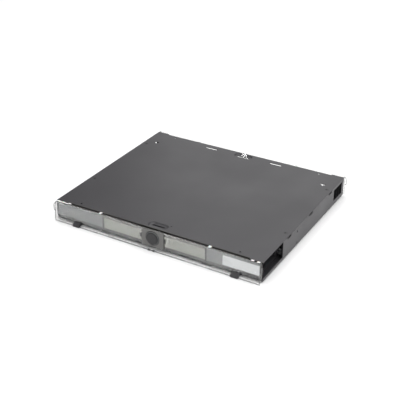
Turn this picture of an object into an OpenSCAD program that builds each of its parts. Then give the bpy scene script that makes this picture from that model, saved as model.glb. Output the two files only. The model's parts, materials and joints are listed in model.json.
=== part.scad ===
// Rack-mount fiber termination box, one rack unit high.
// A steel chassis and cover hold a sliding tray with three adapter panels, slack spools
// and a splice tray. Clear drop-down doors close the front and the rear.
// Millimetres. X is the width, the front faces -Y, and Z = 0 is the face it stands on.

/* [Chassis] */
// Width of the steel body across its side walls
body_w = 431.8; // [431:0.1:433]
// Depth of the steel body, front edge to rear edge
body_d = 355.6; // [350:0.1:365]
// Height of the steel body, underside of the base to top of the cover
body_h = 38; // [37.5:0.1:39]
// Gap under the base, taken up by the four lugs
lift = 2.8; // [2.6:0.1:3.2]
// Thickness of the sheet steel
sheet = 1.2; // [1:0.1:1.4]
// Distance of the front cable exit's rear edge from the front of the body
exit_depth = 77.8; // [70:0.1:80]
// Radius of the ear screw holes in the side walls
ear_hole_r = 2.2; // [1.8:0.1:2.4]
// Height between the two ear screw holes
ear_hole_gap = 23.4; // [22:0.1:24]

/* [Cover] */
// Length of the two pressed pockets along X
pocket_w = 40; // [36:1:44]
// Width of the two pressed pockets along Y
pocket_d = 18; // [16:1:19]
// Depth of the pressed pockets
pocket_h = 2.6; // [2.2:0.1:2.8]
// Length of the latch slot in each pocket
slot_w = 26; // [24:1:27]
// Width of the latch slot in each pocket
slot_d = 3.5; // [3.2:0.1:3.8]

/* [Doors] */
// Thickness of the clear door panel
panel_t = 1.6; // [1.4:0.1:1.8]
// Gap between the body and the back of the door panel
panel_gap = 3; // [2.8:0.1:3.2]
// Radius of the hinge rod moulded along each door's bottom edge
rod_r = 1.5; // [1.3:0.1:1.6]
// Distance of the hinge rod's centre from the body
rod_out = 9; // [8.6:0.1:9.2]
// Half width of the latch housing in the front door
housing_x = 23; // [22:0.5:24]
// Radius of the latch knob's disc
knob_r = 11.5; // [10:0.5:12]
// Height of the latch knob's axis
knob_z = 24.6; // [24:0.1:25]

/* [Tray] */
// Half width of the tray's floor
tray_x = 203; // [202:0.5:204]
// Distance of the tray's rear edge behind the body's centre
tray_rear = 118; // [112:1:120]
// Adapters in one panel
adapters = 6; // [4:1:6]
// Distance between adapters
adapter_pitch = 18; // [16:0.5:19]
// Outer radius of the slack spools
spool_r = 34; // [30:1:36]
// Splice slots in the splice holder
splice_slots = 12; // [6:1:12]

/* [Hidden] */
hx = body_w / 2;
hy = body_d / 2;
base_top = lift + sheet;
top_z = lift + body_h;
deck_z = top_z - sheet;
cover_ear_x = 26;
cover_ear_d = 3;
lug_x = 107;
lug_w = 20;
clip_x = 167;
clip_w = 15;
clip_gap = 0.6;
hook_ys = [-75, 18, 108];
hook_w = 15;
screw_x = 206;
screw_ys = [-72, 113];
exit_y = -hy + exit_depth;
exit_lip = 8;
entry_y = [128, 168];
entry_z = [11, 35];
ear_hole_y = -41;
ear_hole_z = 7.4;
slot_y = 161;
pocket_y = 162.5;
pocket_floor = deck_z - pocket_h;
rod_z = rod_r + 0.3;
rod_fit = 0.05;
panel_z = [5, 40.4];
panel_front = panel_gap + panel_t;
insert_t = 0.4;
carrier_t = 1.2;
window_z = [7, 39.4];
label_rows = [13.4, 38.6];
card_rows = [14.2, 34.4];
cam_y = -slot_y;
tray_z = base_top + 0.6;
tray_top = tray_z + sheet;
slide_z = [11.5, 23.5];
bulkhead_y = -97.2;
bulkhead_top = 36.2;
panel_pitch = 135;
panel_screw_x = 61.5;
adapter_z = 21;
spool_x = 128;
spool_y = 25;
latch_y = 155.5;
latch_z = 33.5;
tab_z = 38.4;

steel_black = "#3b3a3d";
zinc = "#b5b7b8";
clear_plastic = [0.86, 0.88, 0.86, 0.45];
black_plastic = "#1f1e20";
rubber_black = "#161617";
label_grey = "#838684";
card_beige = "#a5a69f";

// ---- helpers ----

// The same thing on the right and on the left
module both_sides() {
    children();
    mirror([1, 0, 0]) children();
}

// A thing drawn for the right, on the side that s gives
module on_side(s) {
    if (s > 0) children();
    else mirror([1, 0, 0]) children();
}

// A block given by its two corners
module block(low, high) {
    translate(low) cube(high - low);
}

// A block drawn in front of the body: out is the distance from the front edge
module front_block(x, out, z) {
    block([x[0], -hy - out[1], z[0]], [x[1], -hy - out[0], z[1]]);
}

// A side outline of [out, z] points, drawn in front of the body and swept along X
module front_profile(x, points) {
    translate([x[0], 0, 0]) rotate([90, 0, 90]) linear_extrude(x[1] - x[0])
        polygon([for (p = points) [-hy - p[0], p[1]]]);
}

module rod_along_x(r, x, y, z) {
    translate([x[0], y, z]) rotate([0, 90, 0]) cylinder(r = r, h = x[1] - x[0], $fn = 48);
}

module rod_along_y(r, y, x, z) {
    translate([x, y[0], z]) rotate([-90, 0, 0]) cylinder(r = r, h = y[1] - y[0], $fn = 64);
}

module upright(r, x, y, z) {
    translate([x, y, z[0]]) cylinder(r = r, h = z[1] - z[0], $fn = 64);
}

// A long pressed form with round ends and sloping walls
module long_dish(half_len, r_low, r_high, z_low, height) {
    for (s = [-1, 1]) translate([s * half_len, 0, z_low])
        cylinder(r1 = r_low, r2 = r_high, h = height, $fn = 64);
    translate([-half_len, 0, z_low]) rotate([90, 0, 90]) linear_extrude(2 * half_len)
        polygon([[-r_low, 0], [r_low, 0], [r_high, height], [-r_high, height]]);
}

// ---- chassis ----

module side_wall() {
    difference() {
        union() {
            block([hx - sheet, -hy, base_top], [hx, hy, deck_z]);
            block([hx - 13, exit_y, deck_z - sheet], [hx - sheet, 120, deck_z]);
        }
        block([hx - 20, -hy - 1, exit_lip], [hx + 1, exit_y, top_z]);
        block([hx - 3, entry_y[0], entry_z[0]], [hx + 1, entry_y[1], entry_z[1]]);
        for (y = hook_ys)
            block([hx - 3, y - hook_w / 2, deck_z - 3.8], [hx + 1, y + hook_w / 2, top_z]);
        for (z = [ear_hole_z, ear_hole_z + ear_hole_gap])
            rod_along_x(ear_hole_r, [hx - 3, hx + 1], ear_hole_y, z);
        for (y = screw_ys) upright(1.55, screw_x, y, [30, 45]);
    }
}

module base_pan() {
    color(steel_black) {
        block([-hx, -hy, lift], [hx, hy, base_top]);
        both_sides() side_wall();
        block([-hx + sheet, hy - sheet, base_top], [hx - sheet, hy, exit_lip]);
        both_sides() for (s = [-1, 1])
            block([lug_x - lug_w / 2, s * (hy - 3) - 3, 0], [lug_x + lug_w / 2, s * (hy - 3) + 3, lift]);
    }
}

module cover_solid() {
    block([-hx, -hy + cover_ear_d, deck_z], [hx, hy - cover_ear_d, top_z]);
    both_sides() for (s = [-1, 1])
        block([hx - cover_ear_x, s * (hy - 3) - 3, deck_z], [hx, s * (hy - 3) + 3, top_z]);
    both_sides() for (s = [-1, 1]) {
        lip_y = s * (hy - cover_ear_d - sheet / 2);
        block([30, lip_y - sheet / 2, deck_z - 2.8], [185, lip_y + sheet / 2, deck_z]);
    }
    both_sides() for (y = hook_ys)
        block([hx - 2.6, y - hook_w / 2 + 0.5, deck_z - 3.4], [hx - 1.4, y + hook_w / 2 - 0.5, deck_z]);
    for (s = [-1, 1]) translate([0, s * pocket_y, 0])
        long_dish((pocket_w - pocket_d) / 2, pocket_d / 2 - 0.8, pocket_d / 2 + 1.4, pocket_floor, pocket_h);
}

module top_cover() {
    color(steel_black) difference() {
        cover_solid();
        for (s = [-1, 1]) {
            translate([0, s * pocket_y, 0])
                long_dish((pocket_w - pocket_d) / 2, pocket_d / 2 - 1.6, pocket_d / 2, pocket_floor + sheet,
                    pocket_h + 0.001);
            block([-slot_w / 2, s * slot_y - slot_d / 2, 30], [slot_w / 2, s * slot_y + slot_d / 2, 45]);
        }
        upright(1.2, 22, -154.5, [30, 45]);
        both_sides() {
            block([62, 158.8, 30], [87, 163.3, 45]);
            block([186, 128, 30], [196, 131.4, 45]);
            block([189, 124.6, 30], [193, 128.5, 45]);
            for (s = [-1, 1]) upright(1.9, clip_x, s * clip_x, [30, 45]);
            for (y = screw_ys) {
                upright(1.6, screw_x, y, [30, 45]);
                translate([screw_x, y, deck_z]) cylinder(r1 = 1.6, r2 = 2.9, h = sheet + 0.001, $fn = 64);
                upright(0.7, screw_x + 3.9, y, [30, 45]);
            }
        }
    }
}

// Four countersunk screws through the cover into the wall flanges
module cover_screws() {
    color(black_plastic) both_sides() for (y = screw_ys) difference() {
        union() {
            upright(1.5, screw_x, y, [deck_z - 4, deck_z + 0.001]);
            translate([screw_x, y, deck_z]) cylinder(r1 = 1.5, r2 = 2.8, h = sheet - 0.05, $fn = 64);
        }
        for (a = [0, 90]) translate([screw_x, y, top_z - 0.4]) rotate([0, 0, a])
            translate([-1.5, -0.3, 0]) cube([3, 0.6, 1]);
    }
}

// The fixed half of a tray slide, a channel on the side wall
module slide_outer(s) {
    color(zinc) on_side(s) difference() {
        block([hx - 10.3, exit_y + 2, slide_z[0]], [hx - sheet, entry_y[0] - 4, slide_z[1]]);
        block([hx - 12, exit_y, slide_z[0] + sheet], [hx - sheet - 1.4, entry_y[0], slide_z[1] - sheet]);
    }
}

// Push-on rubber edging on the rear upright edge of each front cable exit
module edge_trims() {
    color(rubber_black) both_sides() difference() {
        block([hx - 2.3, exit_y - 1.2, exit_lip + 0.4], [hx, exit_y + 2, deck_z - sheet - 0.2]);
        block([hx - sheet - 0.02, exit_y, exit_lip], [hx + 1, exit_y + 3, deck_z]);
    }
}

// Rubber frame in a rear cable entry, with two upright ribs
module rear_grommet(s) {
    rib_y = [entry_y[0] + 13.2, entry_y[0] + 25.2];
    color(rubber_black) on_side(s) difference() {
        union() {
            block([hx - 5, entry_y[0] - 2, entry_z[0] - 2], [hx - sheet, entry_y[1] + 2, entry_z[1] + 2]);
            block([hx - sheet, entry_y[0], entry_z[0]], [hx, entry_y[1], entry_z[1]]);
        }
        block([hx - 7, entry_y[0] + 1.6, entry_z[0] + 1.6], [hx + 2, rib_y[0], entry_z[1] - 1.6]);
        block([hx - 7, rib_y[0] + 1.6, entry_z[0] + 1.6], [hx + 2, rib_y[1], entry_z[1] - 1.6]);
        block([hx - 7, rib_y[1] + 1.6, entry_z[0] + 1.6], [hx + 2, entry_y[1] - 1.6, entry_z[1] - 1.6]);
    }
}

// Snap clip that a door's hinge rod turns in, open below; root is the face it is fixed to
module hinge_clip(root_z) {
    difference() {
        front_profile([clip_x - clip_w / 2, clip_x + clip_w / 2],
            [[0, root_z[0]], [0, root_z[1]], [3, root_z[1]], [rod_out, 5.2], [rod_out + 1.9, 3.8],
             [rod_out + 2.1, 0.6], [rod_out - 2.6, 0.6], [rod_out - 3.4, 2], [0.5, 2], [0.5, root_z[0]]]);
        rod_along_x(rod_r + rod_fit, [clip_x - clip_w, clip_x + clip_w], -hy - rod_out, rod_z);
        front_block([clip_x - clip_w, clip_x + clip_w], [rod_out - 1.1, rod_out + 1.1], [0, rod_z]);
    }
}

module rear_hinge_clips() {
    color(black_plastic) mirror([0, 1, 0]) both_sides() hinge_clip([base_top + 0.2, exit_lip]);
}

// Bent bar with holes for cable ties, on the base behind the tray
module cable_tie_bar() {
    color(zinc) difference() {
        union() {
            block([-150, 134, base_top], [150, 142, base_top + sheet]);
            block([-150, 134, base_top], [150, 134 + sheet, 16]);
        }
        for (x = [-130 : 20 : 130]) block([x - 3, 130, 9], [x + 3, 137, 12.5]);
    }
}

module ground_stud() {
    color(zinc) {
        upright(5, -180, 152, [base_top, base_top + 1]);
        upright(2.9, -180, 152, [base_top + 1, base_top + 13]);
    }
}

module ground_nut() {
    color(zinc) difference() {
        translate([-180, 152, base_top + 1]) cylinder(r = 5.2, h = 4, $fn = 6);
        upright(2.95, -180, 152, [base_top, 20]);
    }
}

// ---- rear latch: a finger tab through the cover slot, with a hook that holds the rear door ----

module latch_cheeks() {
    color(zinc) both_sides() difference() {
        block([9, latch_y - 1.2, latch_z - 3.5], [10.2, latch_y + 4.8, pocket_floor]);
        rod_along_x(1.02, [8, 12], latch_y + 1.8, latch_z);
    }
}

module latch_pin() {
    color(zinc) rod_along_x(1, [-10.2, 10.2], latch_y + 1.8, latch_z);
}

// Half-round finger tab, drawn flat in its own plane with the straight edge on X
module finger_tab(w, len, thick) {
    linear_extrude(thick) intersection() {
        translate([0, len - w / 2]) circle(r = w / 2, $fn = 64);
        translate([-w, 0]) square([2 * w, 2 * w]);
    }
    translate([-w / 2, 0, 0]) cube([w, len - w / 2, thick]);
}

module rear_latch() {
    pin_y = latch_y + 1.8;
    color(clear_plastic) difference() {
        union() {
            rod_along_x(2.3, [-8.4, 8.4], pin_y, latch_z);
            block([-7, pin_y, latch_z - 1.6], [7, slot_y + 0.8, latch_z]);
            block([-7, slot_y - 0.8, latch_z - 1.6], [7, slot_y + 0.8, tab_z + 0.6]);
            translate([0, slot_y - 0.3, tab_z]) rotate([23, 0, 0]) finger_tab(14, 11.8, 1.2);
            block([-6, slot_y, latch_z - 1.6], [6, hy - 1.4, latch_z]);
            block([-6, hy - 2.8, latch_z - 1.6], [6, hy - 1.4, 35.6]);
        }
        rod_along_x(1.05, [-12, 12], pin_y, latch_z);
    }
}

// ---- doors ----

// The clear moulding that both doors share, drawn at the front
module door_shell() {
    difference() {
        union() {
            front_block([-hx + 0.3, hx - 0.3], [panel_gap, panel_front], panel_z);
            front_profile([-hx + 0.3, hx - 0.3],
                [[panel_gap, panel_z[0] + 1], [panel_front, panel_z[0] + 1], [panel_front, panel_z[0]],
                 [rod_out, rod_z + 0.8], [rod_out, rod_z - 0.8], [panel_gap, panel_z[0] - 0.8]]);
            rod_along_x(rod_r, [-hx + 0.3, hx - 0.3], -hy - rod_out, rod_z);
            both_sides() front_profile([hx - 1.8, hx - 0.3],
                [[0.5, 12], [0.5, 38], [3, 40.4], [panel_front, 40.4], [7.6, 36], [rod_out, 26],
                 [rod_out + 0.6, 12], [rod_out + 0.9, 3.4], [rod_out, 1], [rod_out - 1.5, 1.4], [4.2, 4]]);
            both_sides() translate([0, -hy - 6, 0]) rotate([90, 0, 0]) linear_extrude(1.6)
                polygon([[hx - 1, 21.6], [hx + 3, 21.6], [hx + 3.7, 23],
                    [hx + 3.7, 32], [hx + 2.4, 36], [hx - 1, 39]]);
            both_sides() for (x = [197.6, 209])
                front_block([x - 3, x + 3], [0.5, panel_front], [39.2, 41.2]);
            both_sides() front_block([111.6, 117.6], [-2.4, panel_front], [39.2, 41.2]);
        }
        both_sides() front_block([clip_x - clip_w / 2 - clip_gap, clip_x + clip_w / 2 + clip_gap],
            [-1, rod_out + 3], [-1, 9]);
        both_sides() front_block([lug_x - 12, lug_x + 12], [panel_front, rod_out + 3], [-1, 4.4]);
    }
}

// The door rod, made whole again through the clips
module rod_in_clips() {
    both_sides() rod_along_x(rod_r, [clip_x - clip_w / 2 - 1, clip_x + clip_w / 2 + 1], -hy - rod_out, rod_z);
}

module front_door() {
    color(clear_plastic) {
        difference() {
            door_shell();
            front_block([-housing_x, housing_x], [0, panel_front + 1], window_z);
        }
        rod_in_clips();
    }
}

module rear_door() {
    color(clear_plastic) mirror([0, 1, 0]) {
        door_shell();
        rod_in_clips();
    }
}

// Ledge inside the rear door that the latch hook holds
module rear_keeper() {
    color(clear_plastic) mirror([0, 1, 0]) {
        front_block([-8, 8], [-5, panel_gap], [37, 38.2]);
        front_block([-8, 8], [-5, -3.6], [36, 37]);
    }
}

// Two small stops on the front of the hinge rod, under the knob
module door_stops() {
    color(black_plastic) both_sides() difference() {
        front_block([3.2, 6.6], [rod_out, rod_out + 1.9], [rod_z - 0.9, rod_z + 1.9]);
        rod_along_x(rod_r, [0, 10], -hy - rod_out, rod_z);
    }
}

// Grey backing behind the clear panel, with the two dividers between its label bays
module label_carrier() {
    back = panel_gap - insert_t;
    color("#6e706b") difference() {
        union() {
            front_block([-hx + 2.4, hx - 2.4], [back - carrier_t, back], [10.2, 39.2]);
            both_sides() front_block([106, 109.6], [back, panel_gap], [12.4, 37]);
        }
        front_block([-housing_x, housing_x], [0, panel_gap], window_z);
    }
}

module label_left() {
    color(label_grey) front_block([-hx + 2.8, -110], [panel_gap - insert_t, panel_gap], label_rows);
}

module label_right() {
    color(label_grey)
        front_block([110, hx - 2.8], [panel_gap - insert_t, panel_gap - insert_t / 2], label_rows);
}

module write_on_label() {
    color("#d6d8d8") front_block([141, 211], [panel_gap - insert_t / 2, panel_gap], [15, 34]);
}

module name_card(s) {
    color(card_beige) on_side(s)
        front_block([housing_x + 0.4, 105.6], [panel_gap - insert_t, panel_gap], card_rows);
}

// Small black catches over the inner ends of the name cards
module card_clips() {
    color(black_plastic) both_sides()
        front_block([housing_x + 0.4, 26.6], [panel_front, panel_front + 0.8], [21, 29]);
}

module latch_housing() {
    color("#5d5c5e") difference() {
        front_block([-housing_x, housing_x], [1.2, panel_front + 0.3], window_z);
        rod_along_y(3.05, [-hy - 8, -hy + 2], 0, knob_z);
    }
}

module knob_bezel() {
    color(black_plastic) difference() {
        rod_along_y(knob_r + 2.6, [-hy - 6, -hy - panel_front - 0.3], 0, knob_z);
        rod_along_y(knob_r + 0.5, [-hy - 8, -hy], 0, knob_z);
    }
}

module latch_knob() {
    color(black_plastic) difference() {
        union() {
            rod_along_y(knob_r, [-hy - 7.4, -hy - 5.3], 0, knob_z);
            translate([0, -hy - 7.4, knob_z]) rotate([90, 0, 0])
                cylinder(r1 = knob_r, r2 = knob_r - 0.6, h = 0.6, $fn = 64);
        }
        rod_along_y(2.5, [-hy - 6.6, -hy - 5], 0, knob_z);
    }
}

module knob_spindle() {
    color(zinc) difference() {
        union() {
            rod_along_y(2.5, [-hy - 6.6, -hy - 5.3], 0, knob_z);
            rod_along_y(3, [-hy - 5.3, cam_y - 1], 0, knob_z);
        }
        rod_along_y(1.5, [cam_y - 8, cam_y], 0, knob_z);
    }
}

// Cam tongue: level when unlocked, turned up through the cover slot when locked
module latch_cam() {
    color(zinc) difference() {
        union() {
            rod_along_y(5, [cam_y - 1, cam_y + 1], 0, knob_z);
            block([0, cam_y - 1, knob_z - 3.2], [15.2, cam_y + 1, knob_z + 3.2]);
        }
        rod_along_y(1.55, [cam_y - 2, cam_y + 2], 0, knob_z);
    }
}

module cam_screw() {
    color(zinc) difference() {
        union() {
            rod_along_y(1.45, [cam_y - 6, cam_y + 1], 0, knob_z);
            rod_along_y(3, [cam_y + 1, cam_y + 2.4], 0, knob_z);
        }
        block([-2.2, cam_y + 1.8, knob_z - 0.35], [2.2, cam_y + 3, knob_z + 0.35]);
    }
}

// ---- tray ----

module tray_floor() {
    flange_x = hx - 2;
    color(steel_black) difference() {
        union() {
            block([-tray_x, -hy, tray_z], [tray_x, tray_rear, tray_top]);
            front_profile([-flange_x, flange_x], [[0, tray_z], [0, 8.8], [-sheet, 8.8], [-sheet, tray_z]]);
            both_sides() block([tray_x - sheet, exit_y + 4, tray_top], [tray_x, tray_rear, 24]);
            block([-tray_x, tray_rear - sheet, tray_top], [tray_x, tray_rear, 9]);
        }
        both_sides() rotate([90, 0, 0]) translate([0, 0, hy - 5]) linear_extrude(10)
            polygon([[flange_x - 3, tray_z - 1], [flange_x + 1, tray_z - 1],
                [flange_x + 1, 8], [flange_x, 8]]);
        for (x = [-170 : 34 : 170]) for (dy = [0, 8])
            block([x - 4, -150 + dy, 0], [x + 4, -147.5 + dy, 8]);
        both_sides() for (y = [-60, 100]) upright(2, 95, y, [0, 8]);
    }
}

// The moving half of a tray slide, a bar on the tray's side
module slide_inner(s) {
    gap = 0.6;
    color(zinc) on_side(s) difference() {
        block([tray_x, exit_y + 4, slide_z[0] + sheet + gap],
            [hx - sheet - 1.9, tray_rear, slide_z[1] - sheet - gap]);
        block([tray_x + 1.6, exit_y + 2, slide_z[0] + 4], [hx - 8, tray_rear + 2, slide_z[1] - 4]);
    }
}

module adapter_bulkhead() {
    color(steel_black) difference() {
        union() {
            block([-tray_x + 1.5, bulkhead_y, tray_top], [tray_x - 1.5, bulkhead_y + sheet, bulkhead_top]);
            block([-tray_x + 1.5, bulkhead_y, tray_top], [tray_x - 1.5, bulkhead_y + 9, tray_top + sheet]);
        }
        for (i = [-1 : 1])
            block([i * panel_pitch - 58, bulkhead_y - 2, 8.6], [i * panel_pitch + 58, bulkhead_y + 2, 33.6]);
        for (i = [-1 : 1]) for (s = [-1, 1])
            rod_along_y(1.6, [bulkhead_y - 2, bulkhead_y + 2], i * panel_pitch + s * panel_screw_x,
                adapter_z);
    }
}

module adapter_panel(i) {
    color("#2b2a2c") translate([i * panel_pitch, 0, 0]) difference() {
        block([-65, bulkhead_y - 1.6, 7.4], [65, bulkhead_y, 35.2]);
        for (k = [0 : adapters - 1]) translate([(k - (adapters - 1) / 2) * adapter_pitch, 0, 0])
            block([-5.1, bulkhead_y - 3, adapter_z - 6.6], [5.1, bulkhead_y + 1, adapter_z + 6.6]);
        for (s = [-1, 1])
            rod_along_y(1.8, [bulkhead_y - 3, bulkhead_y + 1], s * panel_screw_x, adapter_z);
    }
}

// One duplex adapter: body through the panel, flange in front, two sockets at each end
module adapter() {
    difference() {
        union() {
            block([-5, bulkhead_y - 14, adapter_z - 6.5], [5, bulkhead_y + 13, adapter_z + 6.5]);
            block([-5, bulkhead_y - 3.2, adapter_z - 11], [5, bulkhead_y - 1.6, adapter_z + 11]);
        }
        for (z = [-3, 3]) for (y = [bulkhead_y - 15, bulkhead_y + 5])
            block([-2.8, y, adapter_z + z - 2.4], [2.8, y + 9, adapter_z + z + 2.4]);
    }
}

module adapter_row(i) {
    color("#2f8f9d") for (k = [0 : adapters - 1])
        translate([i * panel_pitch + (k - (adapters - 1) / 2) * adapter_pitch, 0, 0]) adapter();
}

// One duplex dust cap; s is -1 for the front end of an adapter and 1 for the rear end
module dust_cap(s) {
    face = s < 0 ? bulkhead_y - 14 : bulkhead_y + 13;
    y = [min(face, face + s * 4), max(face, face + s * 4)];
    plug = [min(face, face - s * 6), max(face, face - s * 6)];
    block([-4.2, y[0], adapter_z - 5.8], [4.2, y[1], adapter_z + 5.8]);
    for (z = [-3, 3]) block([-2.6, plug[0], adapter_z + z - 2.2], [2.6, plug[1], adapter_z + z + 2.2]);
}

module dust_caps(s) {
    color("#d9d9d6") for (i = [-1 : 1]) for (k = [0 : adapters - 1])
        translate([i * panel_pitch + (k - (adapters - 1) / 2) * adapter_pitch, 0, 0]) dust_cap(s);
}

module panel_screws() {
    color(zinc) for (i = [-1 : 1]) for (s = [-1, 1])
        translate([i * panel_pitch + s * panel_screw_x, 0, 0]) difference() {
        union() {
            rod_along_y(3, [bulkhead_y - 3.4, bulkhead_y - 1.6], 0, adapter_z);
            rod_along_y(1.5, [bulkhead_y - 1.6, bulkhead_y + 4], 0, adapter_z);
        }
        for (a = [0, 90]) translate([0, 0, adapter_z]) rotate([0, a, 0])
            block([-2, bulkhead_y - 4, -0.35], [2, bulkhead_y - 2.6, 0.35]);
    }
}

// Slack spool: a ring with a foot flange and four fingers over the coiled fiber
module slack_spool(s) {
    color(black_plastic) on_side(s) translate([spool_x, spool_y, 0]) difference() {
        union() {
            upright(spool_r, 0, 0, [tray_top, 29]);
            upright(spool_r + 3, 0, 0, [tray_top, tray_top + 1.4]);
            for (a = [45 : 90 : 315]) rotate([0, 0, a])
                block([spool_r - 1, -6, 27], [spool_r + 11, 6, 28.6]);
        }
        upright(spool_r - 2, 0, 0, [tray_top - 1, 30]);
    }
}

// Upright post with a collar, that turns cords out of the front cable exit
module cable_guide(s) {
    color(black_plastic) on_side(s) translate([188, -137, 0]) {
        upright(9, 0, 0, [tray_top, 32.6]);
        upright(12, 0, 0, [32.6, 34]);
        upright(11, 0, 0, [tray_top, tray_top + 1.2]);
    }
}

// Four open clips that hold cords to the tray
module cable_clips() {
    color(black_plastic) both_sides() for (y = [-50, 92]) translate([188, y, tray_top]) difference() {
        block([-7, -5, 0], [7, 5, 14]);
        block([-5, -6, 2], [5, 6, 12]);
        block([-1.5, -6, 11], [1.5, 6, 15]);
    }
}

module splice_tray() {
    color("#77797a") difference() {
        block([-70, -40, tray_top], [70, 104, 15]);
        block([-68, -38, tray_top + 1.4], [68, 102, 16]);
        both_sides() block([42, -42, tray_top + 1.4], [62, 106, 16]);
        upright(3.1, 0, 78, [0, 20]);
    }
}

// Foam comb that holds splice sleeves side by side
module splice_holder() {
    pitch = 5;
    color(rubber_black) difference() {
        block([-31.5, 10, tray_top + 1.4], [31.5, 40, 13.4]);
        for (k = [0 : splice_slots - 1]) translate([(k - (splice_slots - 1) / 2) * pitch, 0, 0])
            block([-1.4, 8, 9.4], [1.4, 42, 15]);
    }
}

module splice_cover() {
    color(clear_plastic) difference() {
        block([-70, -40, 15], [70, 104, 16.2]);
        upright(3.1, 0, 78, [0, 20]);
    }
}

module splice_stud() {
    color(zinc) upright(2.5, 0, 78, [tray_top, 25]);
}

module splice_nut() {
    color(black_plastic) translate([0, 78, 0]) difference() {
        union() {
            upright(7, 0, 0, [16.2, 22]);
            for (a = [0 : 45 : 315]) rotate([0, 0, a]) upright(1.2, 6.9, 0, [16.2, 22]);
        }
        upright(2.55, 0, 0, [10, 30]);
    }
}

module front_hinge_clips() {
    color(black_plastic) both_sides() hinge_clip([tray_z, exit_lip]);
}

// ---- assembly ----

base_pan();
top_cover();
cover_screws();
slide_outer(-1);  // slide_outer_left
slide_outer(1);  // slide_outer_right
edge_trims();
rear_grommet(-1);  // rear_grommet_left
rear_grommet(1);  // rear_grommet_right
rear_hinge_clips();
cable_tie_bar();
ground_stud();
ground_nut();
latch_cheeks();
latch_pin();
rear_latch();
rear_door();
rear_keeper();
tray_floor();
slide_inner(-1);  // slide_inner_left
slide_inner(1);  // slide_inner_right
adapter_bulkhead();
adapter_panel(-1);  // adapter_panel_left
adapter_panel(0);  // adapter_panel_center
adapter_panel(1);  // adapter_panel_right
adapter_row(-1);  // adapters_left
adapter_row(0);  // adapters_center
adapter_row(1);  // adapters_right
dust_caps(-1);  // front_dust_caps
dust_caps(1);  // rear_dust_caps
panel_screws();
slack_spool(-1);  // slack_spool_left
slack_spool(1);  // slack_spool_right
cable_guide(-1);  // cable_guide_left
cable_guide(1);  // cable_guide_right
cable_clips();
splice_tray();
splice_holder();
splice_cover();
splice_stud();
splice_nut();
front_hinge_clips();
front_door();
door_stops();
label_carrier();
label_left();
label_right();
write_on_label();
name_card(-1);  // name_card_left
name_card(1);  // name_card_right
card_clips();
latch_housing();
knob_bezel();
latch_knob();
knob_spindle();
latch_cam();
cam_screw();
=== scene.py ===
# %% [markdown]
# # A rack-mount fiber termination box
# The steel body, doors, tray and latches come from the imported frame, where their sizes and
# joints are settled. This lesson gives each of them its finish, rounds the edges that catch
# light, and grows the small parts that repeat. Everything is in metres, +Z up, front at -Y.

# %% Load the frame and keep its size
import json
import math

import bmesh
import bpy
import numpy as np
from mathutils import Matrix, Vector


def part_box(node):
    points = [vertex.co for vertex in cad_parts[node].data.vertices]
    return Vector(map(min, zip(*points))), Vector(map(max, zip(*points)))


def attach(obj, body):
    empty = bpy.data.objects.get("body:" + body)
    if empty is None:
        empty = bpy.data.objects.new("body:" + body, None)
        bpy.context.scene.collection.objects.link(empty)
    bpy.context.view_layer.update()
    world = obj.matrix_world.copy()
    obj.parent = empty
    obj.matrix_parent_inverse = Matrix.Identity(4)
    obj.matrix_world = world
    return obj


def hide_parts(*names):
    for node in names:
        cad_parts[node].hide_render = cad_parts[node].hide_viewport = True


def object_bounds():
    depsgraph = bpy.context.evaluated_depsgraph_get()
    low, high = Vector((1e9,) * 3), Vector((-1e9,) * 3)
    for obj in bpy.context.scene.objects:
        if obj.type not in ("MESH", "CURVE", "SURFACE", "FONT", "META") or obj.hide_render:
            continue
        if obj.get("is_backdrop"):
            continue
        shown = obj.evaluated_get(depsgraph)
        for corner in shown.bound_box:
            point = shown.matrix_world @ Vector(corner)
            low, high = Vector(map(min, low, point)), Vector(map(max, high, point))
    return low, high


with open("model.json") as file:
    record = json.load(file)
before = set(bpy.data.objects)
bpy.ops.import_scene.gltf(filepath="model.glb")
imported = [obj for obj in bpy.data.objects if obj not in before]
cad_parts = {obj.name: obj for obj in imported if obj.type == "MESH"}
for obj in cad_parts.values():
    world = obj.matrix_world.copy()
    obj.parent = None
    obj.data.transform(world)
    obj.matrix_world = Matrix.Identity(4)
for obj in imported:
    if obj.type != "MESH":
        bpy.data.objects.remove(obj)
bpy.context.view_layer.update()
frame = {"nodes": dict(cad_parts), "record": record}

MM = 0.001
nodes = frame["nodes"]
slot_of = {part["node"]: part["material_slot"] for part in frame["record"]["subparts"]}
body_of = {n: body for body, names in frame["record"]["behaviour"]["bodies"].items() for n in names}

# %% [markdown]
# ## Camera
# A long lens from the front right and above keeps the top's edges nearly parallel, as in a
# catalogue picture. Depth of field stays off, so every view is sharp.

# %% Camera
def in_scene(name, data):
    made = bpy.data.objects.new(name, data)
    bpy.context.scene.collection.objects.link(made)
    return made


def aim(thing, direction, front="-Z"):
    """Turns the thing so that its front axis looks along direction."""
    thing.rotation_mode = "QUATERNION"
    thing.rotation_quaternion = Vector(direction).to_track_quat(front, "Y")


camera_data = bpy.data.cameras.new("camera")
camera = in_scene("camera", camera_data)
camera_data.lens = 77.8
camera_data.sensor_width = 36
camera_data.clip_end = 60
camera.location = (0.73058, -1.26979, 0.82530)
aim(camera, (-0.44036, 0.75615, -0.48407))
bpy.context.scene.camera = camera
print("camera distance", round(camera.location.length, 3))

# %% [markdown]
# ## Floor and light
# A pale floor and broad soft lights stand in for a white studio table. Satin black paint shows
# mostly what it mirrors, so the overhead light is large and the rear one is low enough to
# appear in the top. A weak light from the front lifts the labels.

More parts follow.
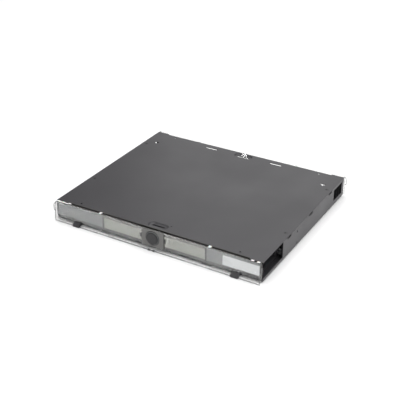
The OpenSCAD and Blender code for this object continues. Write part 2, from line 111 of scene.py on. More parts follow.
# %% Floor
def studio_sheet(name, size, cover, grey, specular=0.5):
    """A flat sheet with a dull, even cover."""
    bpy.ops.mesh.primitive_plane_add(size=size)
    sheet = bpy.context.object
    sheet.name = name
    made = bpy.data.materials.new(cover)
    made.use_nodes = True
    shader = made.node_tree.nodes["Principled BSDF"]
    shader.inputs["Base Color"].default_value = (grey, grey, grey, 1)
    shader.inputs["Roughness"].default_value = 0.9
    shader.inputs["Specular IOR Level"].default_value = specular
    sheet.data.materials.append(made)
    return sheet


floor = studio_sheet("studio_floor", 24, "studio_floor_paint", 0.9, specular=0.1)
floor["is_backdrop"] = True
print("floor", tuple(floor.dimensions))


# %% Lights
def soft_light(name, place, target, width, height, watts):
    data = bpy.data.lights.new(name, "AREA")
    data.shape = "RECTANGLE"
    data.size, data.size_y, data.energy = width, height, watts
    lamp = in_scene(name, data)
    lamp.location = place
    aim(lamp, Vector(target) - Vector(place))


soft_light("overhead_box", (0.2, 0, 2.5), (0, 0, 0), 3.0, 3.0, 62)
soft_light("rear_box", (-1.7, 4.0, 2.3), (0, 0, 0), 2.6, 2.0, 16)
soft_light("right_box", (1.7, -0.9, 0.5), (0.2, -0.1, 0), 0.9, 0.7, 9)
soft_light("front_fill", (-0.5, -2.3, 0.5), (0, -0.2, 0.02), 1.6, 0.8, 6)
world = bpy.data.worlds.new("studio_air")
bpy.context.scene.world = world
world.use_nodes = True
air = world.node_tree.nodes["Background"]
air.inputs["Color"].default_value = (1, 1, 1, 1)
air.inputs["Strength"].default_value = 0.62
bpy.context.scene.view_settings.view_transform = "Standard"

# %% [markdown]
# Satin paint looks flat when everything round it is white. A black flag, a cloth on a frame that
# studios stand beside a shiny thing, gives the top something dark to mirror at its front left.
# Only reflections see it here: it is hidden from the camera and takes no light away.

# %% A flag at the rear left
flag = studio_sheet("black_flag", 2.0, "flag_cloth", 0.01)
flag.location = (-2.05, 1.15, 1.0)
aim(flag, -flag.location, front="Z")
flag.visible_camera = False
flag.visible_shadow = False
flag.visible_diffuse = False
flag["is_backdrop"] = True
print("flag at", [round(v, 2) for v in flag.location])

# %% [markdown]
# ## Finishes
# Each finish reads Object coordinates, which are metres here, so a noise of scale 1000 has
# grains of about a millimetre. The grain gives a little bump and tone, and a slower noise moves
# the roughness, because no real sheet, moulding or card is perfectly even.


# %% A finish with grain and uneven gloss
SLOW_NOISE = 9
BUMP_STRENGTH = 0.6
NOISE_LOW, NOISE_HIGH = 0.3, 0.7


def finish(name, color, roughness, grain, depth, spread=0.06, stretch=(1, 1, 1), shade=0.06):
    """A material whose grains are 1/grain metres wide and stand depth metres high.

    spread moves the roughness either way, shade the tone, and stretch scales the grain's axes.
    """
    made = bpy.data.materials.new(name)
    made.use_nodes = True
    tree = made.node_tree
    shader = tree.nodes["Principled BSDF"]
    place = tree.nodes.new("ShaderNodeTexCoord")
    turn = tree.nodes.new("ShaderNodeMapping")
    turn.inputs["Scale"].default_value = stretch
    tree.links.new(place.outputs["Object"], turn.inputs["Vector"])
    fine = tree.nodes.new("ShaderNodeTexNoise")
    fine.inputs["Scale"].default_value = grain
    fine.inputs["Detail"].default_value = 3
    slow = tree.nodes.new("ShaderNodeTexNoise")
    slow.inputs["Scale"].default_value = SLOW_NOISE
    for noise in (fine, slow):
        tree.links.new(turn.outputs["Vector"], noise.inputs["Vector"])
    bump = tree.nodes.new("ShaderNodeBump")
    bump.inputs["Distance"].default_value = depth
    bump.inputs["Strength"].default_value = BUMP_STRENGTH
    tree.links.new(fine.outputs["Fac"], bump.inputs["Height"])
    tree.links.new(bump.outputs["Normal"], shader.inputs["Normal"])
    gloss = tree.nodes.new("ShaderNodeMapRange")
    gloss.inputs["From Min"].default_value = NOISE_LOW
    gloss.inputs["From Max"].default_value = NOISE_HIGH
    gloss.inputs["To Min"].default_value = roughness - spread
    gloss.inputs["To Max"].default_value = roughness + spread
    tree.links.new(slow.outputs["Fac"], gloss.inputs["Value"])
    tree.links.new(gloss.outputs["Result"], shader.inputs["Roughness"])
    tone = tree.nodes.new("ShaderNodeValToRGB")
    dark, light = tone.color_ramp.elements
    dark.position, light.position = NOISE_LOW, NOISE_HIGH
    dark.color = [c * (1 - shade) for c in color] + [1]
    light.color = [min(1, c * (1 + shade)) for c in color] + [1]
    tree.links.new(fine.outputs["Fac"], tone.inputs["Fac"])
    tree.links.new(tone.outputs["Color"], shader.inputs["Base Color"])
    return made, shader


# %% [markdown]
# Powder coat is melted powder: it flows into a faint orange peel under a satin skin.


# %% Powder-coated steel
def powder_coat():
    made, shader = finish("powder_coat", (0.040, 0.0385, 0.042), 0.42, grain=1400, depth=3e-5,
                          spread=0.05, shade=0.05)
    shader.inputs["Specular IOR Level"].default_value = 0.5
    return made


# %% Zinc-plated steel, with rolling lines along X
def zinc_steel():
    made, shader = finish("zinc_steel", (0.58, 0.59, 0.60), 0.34, grain=700, depth=2e-5,
                          spread=0.07, stretch=(0.06, 1, 1))
    shader.inputs["Metallic"].default_value = 1.0
    return made


# %% [markdown]
# The doors and the finger tab are moulded polycarbonate. Full transmission and the plastic's
# index bend the light, and an alpha below one lets much of it go straight on as well. That
# isn't how plastic works, but it keeps the labels behind the door bright and easy to see.


# %% Clear polycarbonate
def clear_polycarbonate():
    made, shader = finish("clear_polycarbonate", (0.985, 0.988, 0.982), 0.04, grain=60, depth=1e-5,
                          spread=0.02, shade=0.01)
    shader.inputs["Transmission Weight"].default_value = 1.0
    shader.inputs["IOR"].default_value = 1.49
    shader.inputs["Alpha"].default_value = 0.32
    return made


# %% [markdown]
# Most mouldings are plain plastics with a fine spark-eroded grain, and they differ in colour
# and gloss. The rubber is dull, so it stays black under a white sky. For that reason it also
# serves for dark lines, which are mostly painted shade. The caps are thin and pale, so a little
# light scatters inside them.

# %% Moulded plastics and rubber
def black_plastic():
    return finish("black_plastic", (0.014, 0.0135, 0.015), 0.46, grain=1800, depth=4e-5)[0]


def black_rubber():
    made, shader = finish("black_rubber", (0.010, 0.010, 0.011), 0.85, grain=1200, depth=5e-5)
    shader.inputs["Specular IOR Level"].default_value = 0.12
    return made


def backing_plastic():
    return finish("backing_plastic", (0.058, 0.058, 0.050), 0.55, grain=1500, depth=3e-5)[0]


def housing_plastic():
    return finish("housing_plastic", (0.118, 0.116, 0.112), 0.48, grain=1500, depth=3e-5)[0]


def adapter_plastic():
    return finish("adapter_plastic", (0.03, 0.26, 0.33), 0.30, grain=1500, depth=2e-5)[0]


def splice_plastic():
    return finish("splice_plastic", (0.18, 0.19, 0.19), 0.50, grain=1500, depth=3e-5)[0]


def cap_plastic():
    made, shader = finish("cap_plastic", (0.70, 0.70, 0.68), 0.42, grain=1500, depth=2e-5)
    shader.inputs["Subsurface Weight"].default_value = 0.3
    shader.inputs["Subsurface Scale"].default_value = 0.001
    return made


# %% [markdown]
# The inserts are paper-like: matt film for the labels, and card whose fibres lie along X.


# %% Labels and cards
def label_grey():
    return finish("label_grey", (0.108, 0.115, 0.114), 0.62, grain=2200, depth=1e-5, shade=0.03)[0]


def label_white():
    return finish("label_white", (0.505, 0.520, 0.520), 0.60, grain=2200, depth=1e-5, shade=0.02)[0]


def card_beige():
    return finish("card_beige", (0.200, 0.205, 0.178), 0.75, grain=1600, depth=2e-5,
                  spread=0.04, stretch=(0.25, 1, 1), shade=0.05)[0]


# %% [markdown]
# The frame names a finish slot for every node. Each finish is made once, and all pieces in its
# slot share it, so one change reaches them all.

# %% Put the finishes in the frame's slots
FINISHES = (powder_coat, zinc_steel, clear_polycarbonate, black_plastic, black_rubber,
            backing_plastic, housing_plastic, label_grey, label_white, card_beige,
            adapter_plastic, cap_plastic, splice_plastic)
paints = {make.__name__: make() for make in FINISHES}


def paint(piece, slot):
    piece.data.materials.clear()
    piece.data.materials.append(paints[slot])
    for face in piece.data.polygons:
        face.material_index = 0


for node, piece in nodes.items():
    paint(piece, slot_of[node])
print(len(paints), "finishes on", len(nodes), "nodes")

# %% [markdown]
# ## Eased edges
# Folded steel and moulded plastic have no razor edges, and the thin line of light along an
# edge is what makes a part look made. A frame part can't be changed, so a welded copy takes
# its place: flat areas are joined again, and each long sharp edge gets a small round.


# %% Put a finished piece on its body
def place_piece(name, mesh, body, slot, *stands_for):
    piece = in_scene(name, mesh)
    paint(piece, slot)
    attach(piece, body)
    if stands_for:
        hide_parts(*stands_for)
    return piece


# %% Turn working shapes into plain meshes
def as_mesh(form, name):
    mesh = bpy.data.meshes.new(name)
    form.to_mesh(mesh)
    form.free()
    return mesh


def settled(holder, name):
    """The holder's mesh with its modifiers or its bevel worked out. The holder goes."""
    bpy.context.view_layer.update()
    scene_state = bpy.context.evaluated_depsgraph_get()
    mesh = bpy.data.meshes.new_from_object(holder.evaluated_get(scene_state))
    bpy.data.objects.remove(holder)
    mesh.name = name
    return mesh


# %% Smooth shading that keeps flats flat
def smooth_up_to(mesh, degrees):
    """Shades the mesh smooth, with a crease wherever faces meet at more than this angle."""
    for face in mesh.polygons:
        face.use_smooth = True
    mesh.set_sharp_from_angle(angle=math.radians(degrees))


def flat_shaded_flats(mesh):
    """Weights normals by face area, so that a round edge doesn't shade the flat beside it."""
    holder = in_scene(mesh.name + "_holder", mesh)
    weigh = holder.modifiers.new("weigh", "WEIGHTED_NORMAL")
    weigh.keep_sharp = True
    weigh.weight = 100
    return settled(holder, mesh.name)


# %% A copy of a frame part with its long edges eased
WELD = 1e-6
FLAT_ANGLE = math.radians(0.4)
CORNER_ANGLE = math.radians(35)
LONG_EDGE = 5
ON_PLANE = 2e-5


def eased(node, name, edge, back_off=None):
    """edge is the size of the round. back_off is a plane's y and how far the plane moves."""
    form = bmesh.new()
    form.from_mesh(nodes[node].data)
    bmesh.ops.remove_doubles(form, verts=form.verts, dist=WELD)
    bmesh.ops.dissolve_limit(form, angle_limit=FLAT_ANGLE, verts=form.verts, edges=form.edges)
    if back_off:
        plane, shift = back_off
        for corner in form.verts:
            if abs(corner.co.y - plane) < ON_PLANE:
                corner.co.y += shift
    sharp = [e for e in form.edges if e.is_manifold and e.calc_face_angle(0) > CORNER_ANGLE
             and e.calc_length() > LONG_EDGE * edge]
    bmesh.ops.bevel(form, geom=sharp, offset=edge, segments=2, profile=0.6,
                    affect="EDGES", clamp_overlap=False)
    bmesh.ops.triangulate(form, faces=[f for f in form.faces if len(f.verts) > 4])
    mesh = as_mesh(form, name)
    smooth_up_to(mesh, 32)
    mesh = flat_shaded_flats(mesh)
    print(name, len(mesh.polygons), "faces")
    return place_piece(name, mesh, body_of[node], slot_of[node], node)


# %% Steel shells
for steel in ("top_cover", "base_pan", "tray_floor"):
    eased(steel, steel + "_shell", 0.25 * MM)

# %% [markdown]
# The inserts lie right behind the clear panel. Two faces in one plane confuse a ray, so the
# back of the front door's panel stands a tenth of a millimetre off them. Clear plastic hardly
# darkens what is under it, and a ray finds its way through glass slowly, so these cast no shadow.

# %% Clear doors and the finger tab
PANEL_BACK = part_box("label_left")[0].y
INSERT_AIR = 0.1 * MM
for clear, back_off in (("front_door", (PANEL_BACK, -INSERT_AIR)), ("rear_door", None),
                        ("rear_latch", None)):
    moulding = eased(clear, clear + "_moulding", 0.2 * MM, back_off)
    moulding.visible_shadow = False

# %% [markdown]
# The latch housing, spools, splice tray and the like are moulded too. Their rounds are a little
# larger than those of folded steel. The hinge clips keep their sharp frame shape, because a
# rounded copy would press into the door's rod.

# %% Smaller mouldings
for small, edge in (("latch_housing", 0.4), ("cable_clips", 0.3), ("slack_spool_left", 0.4),
                    ("slack_spool_right", 0.4), ("splice_tray", 0.3),
                    ("rear_grommet_left", 0.3), ("rear_grommet_right", 0.3)):
    eased(small, small + "_moulding", edge * MM)

# %% [markdown]
# Between the label bays stand two dividers that look like dark lines, and a finer line ends
# each label. A slim strip right behind the panel draws each of them.

# %% Dark edges of the bay dividers
STRIP_ROUND = 0.08 * MM


def strips(name, boxes, body, slot):
    """boxes is a list of (low corner, high corner). All of them become one piece."""
    form = bmesh.new()
    for low_corner, high_corner in boxes:
        size = Vector(high_corner) - Vector(low_corner)
        middle = (Vector(high_corner) + Vector(low_corner)) / 2
        placed = Matrix.Translation(middle) @ Matrix.Diagonal((*size, 1))
        bmesh.ops.create_cube(form, size=1, matrix=placed)
    bmesh.ops.bevel(form, geom=form.edges[:], offset=STRIP_ROUND, segments=2, affect="EDGES")
    place_piece(name, as_mesh(form, name), body, slot)


card_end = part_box("name_card_right")[1].x
label_start, label_end = (corner.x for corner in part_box("label_right"))
LINE_FRONT, LINE_BACK = PANEL_BACK - 0.05 * MM, PANEL_BACK + 0.35 * MM
DIVIDER = 2.2 * MM
END_LINE = 1.2 * MM
DIVIDER_FOOT, END_LINE_FOOT, BAY_TOP = 12 * MM, 10 * MM, 38.8 * MM
divider_x = (card_end + label_start) / 2
end_x = label_end + END_LINE / 2
edge_boxes = []
for side in (-1, 1):
    for middle, width, foot in ((divider_x, DIVIDER, DIVIDER_FOOT), (end_x, END_LINE, END_LINE_FOOT)):
        a, b = side * middle - width / 2, side * middle + width / 2
        edge_boxes.append(((a, LINE_FRONT, foot), (b, LINE_BACK, BAY_TOP)))
strips("bay_divider_edges", edge_boxes, "front_door", "black_rubber")
print(len(edge_boxes), "divider edges")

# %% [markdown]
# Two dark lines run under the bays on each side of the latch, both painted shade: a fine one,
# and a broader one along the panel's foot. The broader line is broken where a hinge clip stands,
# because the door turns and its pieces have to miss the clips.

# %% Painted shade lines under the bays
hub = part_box("latch_housing")[1].x + 0.5 * MM
CLIP_IN, CLIP_OUT = 158.4 * MM, 175.6 * MM
FINE_LINE = (10.7 * MM, 12.0 * MM)
FOOT_LINE = (5.3 * MM, 8.8 * MM)
foot_shade_boxes = []
for side in (-1, 1):
    for near, far, (z_low, z_high) in ((hub, label_end, FINE_LINE), (hub, CLIP_IN, FOOT_LINE),
                                       (CLIP_OUT, label_end, FOOT_LINE)):
        a, b = sorted((side * near, side * far))
        foot_shade_boxes.append(((a, LINE_FRONT, z_low), (b, LINE_BACK, z_high)))
strips("panel_foot_shade_lines", foot_shade_boxes, "front_door", "black_rubber")
print(len(foot_shade_boxes), "lines under the bays")

# %% [markdown]
# A clear moulding shows mainly by its edges: light runs along inside the plastic and misses
# the eye, so each edge draws a thin line, dark on the front door and paler on the rear one.
# Glass alone loses such a fine line, so a slim bead follows the rod, the end walls and the
# ears and paints it: painted shade in black on the front door, a painted highlight in pale grey
# on the rear one. Its points follow the moulding's own outline, a little inside it.


# %% Painted edge lines on the clear doors
def beads(name, paths, radius, body, slot):
    """Each path is a list of points that a thin round bead runs through."""
    curve = bpy.data.curves.new(name, "CURVE")
    curve.dimensions = "3D"
    curve.bevel_depth = radius
    curve.bevel_resolution = 2
    curve.use_fill_caps = True
    for points in paths:
        line = curve.splines.new("POLY")
        line.points.add(len(points) - 1)
        for spot, place in zip(line.points, points):
            spot.co = (*place, 1)
    mesh = settled(in_scene(name + "_path", curve), name)
    for face in mesh.polygons:
        face.use_smooth = True
    print(name, len(mesh.polygons), "faces")
    place_piece(name, mesh, body, slot)


HALF_WIDTH = 215.6 * MM
HALF_DEPTH = 177.8 * MM
BEAD_RADIUS = 0.42 * MM
WALL_INSET = 0.5 * MM
ROD_OUT, ROD_Z = 9.0 * MM, 1.8 * MM
EAR_OUT = 6.8 * MM
END_WALL = ((1.0, 12), (1.0, 37.6), (3.2, 39.8), (4.4, 39.8), (7.0, 35.6), (8.4, 26), (9.0, 12),
            (9.2, 3.6))
EAR = ((215.4, 22.2), (218.4, 22.2), (219.0, 23.4), (219.0, 31.8), (217.9, 35.4), (215.4, 38))
for door, front, slot in (("front_door", -1, "black_rubber"), ("rear_door", 1, "splice_plastic")):
    rod_y, ear_y = front * (HALF_DEPTH + ROD_OUT), front * (HALF_DEPTH + EAR_OUT)
    paths = []
    for side in (-1, 1):
        wall_x = side * (HALF_WIDTH - WALL_INSET)
        paths.append([(wall_x, front * (HALF_DEPTH + out * MM), z * MM) for out, z in END_WALL])
        paths.append([(side * x * MM, ear_y, z * MM) for x, z in EAR])
    paths.append([(-HALF_WIDTH, rod_y, ROD_Z), (HALF_WIDTH, rod_y, ROD_Z)])
    beads(door + "_painted_edge_lines", paths, BEAD_RADIUS, door, slot)

# %% [markdown]
# The cover hooks into the side walls at three places on each side. Those pockets lie in shade
# and look black, and the hooks are painted like the cover, so each hook wears a thin black pad,
# which is painted shade.

# %% Painted shade on the cover's side hooks
HOOK_Y = (-75, 18, 108)
POCKET_SHADE_HALF = 6.8
POCKET_SHADE_X = (214.45 * MM, 214.75 * MM)
POCKET_SHADE_LOW, POCKET_SHADE_HIGH = 36.4 * MM, 39.4 * MM
pocket_shade_boxes = []
for side in (-1, 1):
    a, b = sorted(side * x for x in POCKET_SHADE_X)
    for y in HOOK_Y:
        pocket_shade_boxes.append(((a, (y - POCKET_SHADE_HALF) * MM, POCKET_SHADE_LOW), (b, (y + POCKET_SHADE_HALF) * MM, POCKET_SHADE_HIGH)))
# Each pad is painted shade for its hook pocket.
strips("cover_hook_pocket_shade", pocket_shade_boxes, body_of["top_cover"], "black_rubber")
print(len(pocket_shade_boxes), "hook pads")

# %% [markdown]
# ## Turned parts
# The knob is a low disc with a rounded rim, and its face is a little higher in the middle. It
# is made like a turned part: a half outline is spun round the knob's axis, so the rim is as
# smooth as the outline's arc.


# %% Spin a half outline round an axis along Y
POLE = 1e-7


def turned(name, outline, axis_x, axis_z, steps=72):
    """outline is a list of (radius, y), from axis to axis, or closed on itself for a ring."""
    form = bmesh.new()
    angles = [2 * math.pi * k / steps for k in range(steps)]
    rings = []
    for radius, y in outline:
        around = [(axis_x + radius * math.cos(a), y, axis_z + radius * math.sin(a)) for a in angles]
        if radius < POLE:
            around = [(axis_x, y, axis_z)]
        rings.append([form.verts.new(spot) for spot in around])
    for low, high in zip(rings, rings[1:]):
        for k in range(steps):
            here, there = k, k + 1
            corners = [low[here % len(low)], low[there % len(low)],
                       high[there % len(high)], high[here % len(high)]]
            form.faces.new(list(dict.fromkeys(corners)))
    bmesh.ops.remove_doubles(form, verts=form.verts, dist=POLE)
    bmesh.ops.recalc_face_normals(form, faces=form.faces)
    mesh = as_mesh(form, name)
    smooth_up_to(mesh, 40)
    return mesh


# %% The latch knob
knob_low, knob_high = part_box("latch_knob")
knob_radius = (knob_high.x - knob_low.x) / 2
knob_x, knob_z = (knob_high.x + knob_low.x) / 2, (knob_high.z + knob_low.z) / 2
face_y, back_y = knob_low.y, knob_high.y
RIM = 0.5 * MM
RIM_BACK = 0.15 * MM
CROWN_BACK = 0.06 * MM
BACK_EDGE = 0.2 * MM
arc = [(knob_radius - RIM + RIM * math.cos(a), face_y + RIM + RIM_BACK - RIM * math.sin(a))
       for a in np.linspace(0, math.pi / 2, 6)]
knob_outline = [(0, back_y), (knob_radius - BACK_EDGE, back_y), (knob_radius, back_y - BACK_EDGE)]
knob_outline += arc + [(knob_radius * 0.6, face_y + CROWN_BACK), (0, face_y)]
place_piece("latch_knob_disc", turned("latch_knob_disc", knob_outline, knob_x, knob_z),
            body_of["latch_knob"], slot_of["latch_knob"], "latch_knob")
print("knob radius", round(knob_radius, 5))

# %% [markdown]
# A ring stands round the knob and guards it. Its top is round and catches light, and its paler
# grey is partly a painted highlight. A thin black ring on each side is painted shade in the gap
# beside it, so from a distance it reads as a pale line between two dark ones.

# %% The ring round the knob
ring_low, ring_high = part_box("knob_bezel")
SHADE_RING = 1.2 * MM
SHADE_RING_RISE = 0.3 * MM
KNOB_GAP = 0.5 * MM
UNDER_KNOB = 0.3 * MM
RING_ROUND = 0.5 * MM
ring_outer = (ring_high.x - ring_low.x) / 2 - SHADE_RING
ring_inner = knob_radius + KNOB_GAP
ring_middle, ring_half = (ring_outer + ring_inner) / 2, (ring_outer - ring_inner) / 2
ring_crown = [(ring_middle + ring_half * math.cos(a), ring_low.y + RING_ROUND * (1 - math.sin(a)))
              for a in np.linspace(0, math.pi, 9)]
ring_outline = [(ring_inner, ring_high.y), (ring_outer, ring_high.y)] + ring_crown
ring_outline.append(ring_outline[0])
place_piece("knob_guard_ring", turned("knob_guard_ring", ring_outline, knob_x, knob_z),
            body_of["knob_bezel"], "splice_plastic", "knob_bezel")
# The two black rings are painted shade, one outside the guard ring and one between it and the knob.
shade_ring_front = ring_high.y - SHADE_RING_RISE
for label, inner, outer in (("outer", ring_outer, ring_outer + SHADE_RING),
                            ("inner", knob_radius - UNDER_KNOB, ring_inner)):
    name = "knob_ring_gap_shade_" + label
    square = [(inner, ring_high.y), (outer, ring_high.y),
              (outer, shade_ring_front), (inner, shade_ring_front)]
    place_piece(name, turned(name, square + square[:1], knob_x, knob_z), body_of["knob_bezel"],
                "black_rubber")
print("ring", round(ring_inner, 5), "to", round(ring_outer, 5))

# %% [markdown]
# Six small tabs stand along the front door's top edge and read as bright squares against the
# dark cover, highlights on the clear plastic. Clear plastic alone would hardly show there, so each
# wears a thin pale cap, a painted highlight. A long one paints the highlight along the rear
# door's top edge.

# %% Painted highlights on the clear tops
HIGHLIGHT_SKIN = 0.15 * MM
TAB_HALF = 2.8 * MM
TAB_FRONT = -182.3 * MM
OUTER_BACK, INNER_BACK = -178.4 * MM, -175.6 * MM
TABS = ((197.6 * MM, OUTER_BACK), (209 * MM, OUTER_BACK), (114.6 * MM, INNER_BACK))
tab_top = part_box("front_door")[1].z
tab_boxes = []
for side in (-1, 1):
    for middle, back in TABS:
        x = side * middle
        tab_boxes.append(((x - TAB_HALF, TAB_FRONT, tab_top), (x + TAB_HALF, back, tab_top + HIGHLIGHT_SKIN)))
strips("front_door_tab_highlight", tab_boxes, "front_door", "cap_plastic")
REAR_TOP_LOW = (-214 * MM, 181.2 * MM, 40.35 * MM)
REAR_TOP_HIGH = (214 * MM, 182.4 * MM, 40.6 * MM)
strips("rear_door_top_highlight", [(REAR_TOP_LOW, REAR_TOP_HIGH)], "rear_door", "cap_plastic")
print(len(tab_boxes), "tabs, on", round(tab_top, 4))

# %% [markdown]
# The cover's front edge is a paler line, a highlight along its edge. A round on so thin a sheet
# would be lost at this distance, so a narrow bead, a little paler than the paint, draws it as a
# painted highlight. Near each side the sheet reaches further forward, as an ear, and the bead
# steps forward with it.

# %% The painted highlight on the cover's front edge
cover_low, cover_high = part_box("top_cover")
EAR_START = 189.9 * MM
EAR_REACH = 3 * MM
EAR_GAP = 0.3 * MM
HIGHLIGHT_FRONT, HIGHLIGHT_BACK = -0.04 * MM, 0.8 * MM
HIGHLIGHT_LOW, HIGHLIGHT_HIGH = -0.7 * MM, 0.08 * MM
ear_low, ear_high = EAR_START + EAR_GAP, HALF_WIDTH
cover_highlight_boxes = []
for x_low, x_high, y in ((-EAR_START, EAR_START, cover_low.y + EAR_REACH),
                         (-ear_high, -ear_low, cover_low.y), (ear_low, ear_high, cover_low.y)):
    cover_highlight_boxes.append(((x_low, y + HIGHLIGHT_FRONT, cover_high.z + HIGHLIGHT_LOW),
                       (x_high, y + HIGHLIGHT_BACK, cover_high.z + HIGHLIGHT_HIGH)))
strips("cover_front_highlight", cover_highlight_boxes, body_of["top_cover"], "backing_plastic")
print("cover front edge at", round(cover_low.y + EAR_REACH, 5), "ears at", round(cover_low.y, 5))

# %% [markdown]
# A ledge on top of the label carrier half closes the gap between cover and door, which would be
# a broad black line without it.

# %% The ledge on the label carrier
LEDGE_LOW, LEDGE_HIGH = 38.9 * MM, 39.3 * MM
LEDGE_OFF = 0.4 * MM
ledge_half = EAR_START - MM
ledge = ((-ledge_half, PANEL_BACK + LEDGE_OFF, LEDGE_LOW),
         (ledge_half, cover_low.y + 0.2 * MM, LEDGE_HIGH))
strips("carrier_top_ledge", [ledge], "front_door", "backing_plastic")
print("ledge", round(ledge[1][1] - ledge[0][1], 5), "deep")

# %% [markdown]
# ## Parts that repeat
# Screws and cap grips are one shape many times over. Geometry Nodes set an instance on each
# point. The tree then realizes the instances, because an export drops them, and sets the
# material.


# %% A tree with named inputs
def new_tree(name, inputs):
    tree = bpy.data.node_groups.new(name, "GeometryNodeTree")
    tree.interface.new_socket("Geometry", in_out="INPUT", socket_type="NodeSocketGeometry")
    tree.interface.new_socket("Geometry", in_out="OUTPUT", socket_type="NodeSocketGeometry")
    for label, kind in inputs:
        tree.interface.new_socket(label, in_out="INPUT", socket_type=kind)
    return tree, tree.nodes.new("NodeGroupInput"), tree.nodes.new("NodeGroupOutput")


def finish_tree(tree, given, out, shape, turn):
    """Sets shape on each point, turned by turn, then realizes and paints it."""
    copies = tree.nodes.new("GeometryNodeInstanceOnPoints")
    solid = tree.nodes.new("GeometryNodeRealizeInstances")
    coat = tree.nodes.new("GeometryNodeSetMaterial")
    tree.links.new(given.outputs["Geometry"], copies.inputs["Points"])
    tree.links.new(shape, copies.inputs["Instance"])
    tree.links.new(turn, copies.inputs["Rotation"])
    tree.links.new(copies.outputs["Instances"], solid.inputs["Geometry"])
    tree.links.new(solid.outputs["Geometry"], coat.inputs["Geometry"])
    tree.links.new(given.outputs["Material"], coat.inputs["Material"])
    tree.links.new(coat.outputs["Geometry"], out.inputs["Geometry"])


# %% Grow a piece from points
def grown(name, points, tree, values, body, slot, *stands_for):
    """values gives the tree's named inputs. The modifier is worked out into a plain mesh."""
    seeds = bpy.data.meshes.new(name + "_seeds")
    seeds.from_pydata([tuple(p) for p in points], [], [])
    holder = in_scene(name + "_seeds", seeds)
    growth = holder.modifiers.new("growth", "NODES")
    growth.node_group = tree
    settings = {**values, "Material": paints[slot]}
    for item in tree.interface.items_tree:
        if item.in_out == "INPUT" and item.name in settings:
            growth[item.identifier] = settings[item.name]
    mesh = settled(holder, name)
    smooth_up_to(mesh, 35)
    print(name, len(points), "copies,", len(mesh.polygons), "faces")
    place_piece(name, mesh, body, slot, *stands_for)


# %% [markdown]
# A screw head is a short cone frustum with a cross cut out of it. The same tree makes the
# countersunk cover screws and the pan heads on the adapter panels.

# %% The screw tree
screw_tree, given, out = new_tree("cross_screw", [
    ("Head radius", "NodeSocketFloat"), ("Foot radius", "NodeSocketFloat"),
    ("Height", "NodeSocketFloat"), ("Recess", "NodeSocketVector"),
    ("Turn", "NodeSocketVector"), ("Material", "NodeSocketMaterial")])
head = screw_tree.nodes.new("GeometryNodeMeshCone")
head.inputs["Vertices"].default_value = 32
screw_tree.links.new(given.outputs["Head radius"], head.inputs["Radius Top"])
screw_tree.links.new(given.outputs["Foot radius"], head.inputs["Radius Bottom"])
screw_tree.links.new(given.outputs["Height"], head.inputs["Depth"])
top_of_head = screw_tree.nodes.new("ShaderNodeCombineXYZ")
screw_tree.links.new(given.outputs["Height"], top_of_head.inputs["Z"])
cut = screw_tree.nodes.new("GeometryNodeMeshBoolean")
cut.operation = "DIFFERENCE"
cut.solver = "EXACT"
screw_tree.links.new(head.outputs["Mesh"], cut.inputs["Mesh 1"])
for quarter in (0, math.pi / 2):
    blade = screw_tree.nodes.new("GeometryNodeMeshCube")
    set_in = screw_tree.nodes.new("GeometryNodeTransform")
    screw_tree.links.new(given.outputs["Recess"], blade.inputs["Size"])
    screw_tree.links.new(blade.outputs["Mesh"], set_in.inputs["Geometry"])
    screw_tree.links.new(top_of_head.outputs["Vector"], set_in.inputs["Translation"])
    set_in.inputs["Rotation"].default_value = (0, 0, quarter)
    screw_tree.links.new(set_in.outputs["Geometry"], cut.inputs["Mesh 2"])
finish_tree(screw_tree, given, out, cut.outputs["Mesh"], given.outputs["Turn"])

# %% Cover screws
low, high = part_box("cover_screws")
COVER_HEAD = 2.75 * MM
HEAD_DEPTH = 1.1 * MM
CROSS_TURN = 0.4
cover_points = [(s * (high.x - COVER_HEAD), y, high.z - HEAD_DEPTH)
                for s in (-1, 1) for y in (low.y + COVER_HEAD, high.y - COVER_HEAD)]
grown("cover_screw_heads", cover_points, screw_tree,
      {"Head radius": COVER_HEAD, "Foot radius": 1.5 * MM, "Height": HEAD_DEPTH,
       "Recess": (3.0 * MM, 0.6 * MM, 0.8 * MM), "Turn": (0, 0, CROSS_TURN)},
      body_of["cover_screws"], slot_of["cover_screws"], "cover_screws")

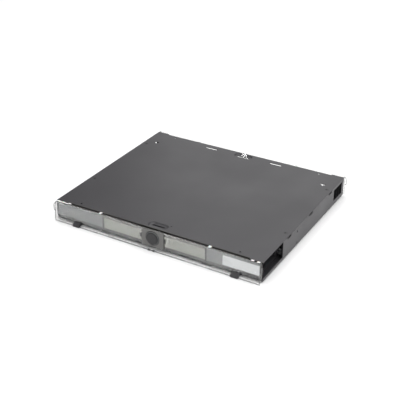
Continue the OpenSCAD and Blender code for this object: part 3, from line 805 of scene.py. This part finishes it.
# %% Adapter panel screws
PAN_HEAD = 3.0 * MM
SCREW_INSET = 3.5 * MM
screw_low, screw_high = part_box("panel_screws")
panel_points = []
for side in ("left", "center", "right"):
    panel_low, panel_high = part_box("adapter_panel_" + side)
    for x in (panel_low.x + SCREW_INSET, panel_high.x - SCREW_INSET):
        panel_points.append((x, panel_low.y, (screw_low.z + screw_high.z) / 2))
grown("panel_screw_heads", panel_points, screw_tree,
      {"Head radius": PAN_HEAD * 0.85, "Foot radius": PAN_HEAD, "Height": 1.8 * MM,
       "Recess": (4.0 * MM, 0.7 * MM, 1.4 * MM), "Turn": (math.pi / 2, 0, 0)},
      body_of["panel_screws"], slot_of["panel_screws"], "panel_screws")

# %% [markdown]
# Dust caps are pulled off with two fingers, so their tops and undersides carry small grip ribs.

# %% The rib tree
rib_tree, given, out = new_tree("rib", [
    ("Size", "NodeSocketVector"), ("Turn", "NodeSocketVector"), ("Material", "NodeSocketMaterial")])
bar = rib_tree.nodes.new("GeometryNodeMeshCube")
rib_tree.links.new(given.outputs["Size"], bar.inputs["Size"])
finish_tree(rib_tree, given, out, bar.outputs["Mesh"], given.outputs["Turn"])

# %% Grip ribs on the dust caps
ADAPTERS = 6
ADAPTER_WIDTH = 10 * MM
GRIP_IN = 2 * MM
RIB_PITCH = 1.1 * MM
RIB_SUNK = 0.1 * MM
row_low, row_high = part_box("adapters_center")
adapter_pitch = (row_high.x - row_low.x - ADAPTER_WIDTH) / (ADAPTERS - 1)
for end in ("front", "rear"):
    cap_low, cap_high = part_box(end + "_dust_caps")
    grip_y = cap_low.y + GRIP_IN if end == "front" else cap_high.y - GRIP_IN
    ribs = []
    for side in ("left", "center", "right"):
        middle = sum(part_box("adapters_" + side), Vector()).x / 2
        for k in range(ADAPTERS):
            x = middle + (k - (ADAPTERS - 1) / 2) * adapter_pitch
            ribs += [(x, grip_y + step * RIB_PITCH, z) for step in (-1, 0, 1)
                     for z in (cap_low.z + RIB_SUNK, cap_high.z - RIB_SUNK)]
    grown(end + "_cap_grips", ribs, rib_tree, {"Size": (7 * MM, 0.5 * MM, 0.8 * MM)},
          "tray", "cap_plastic")

# %% Report the sizes and finish
low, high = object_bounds()
print("visual box", [round(v, 4) for v in low], [round(v, 4) for v in high])
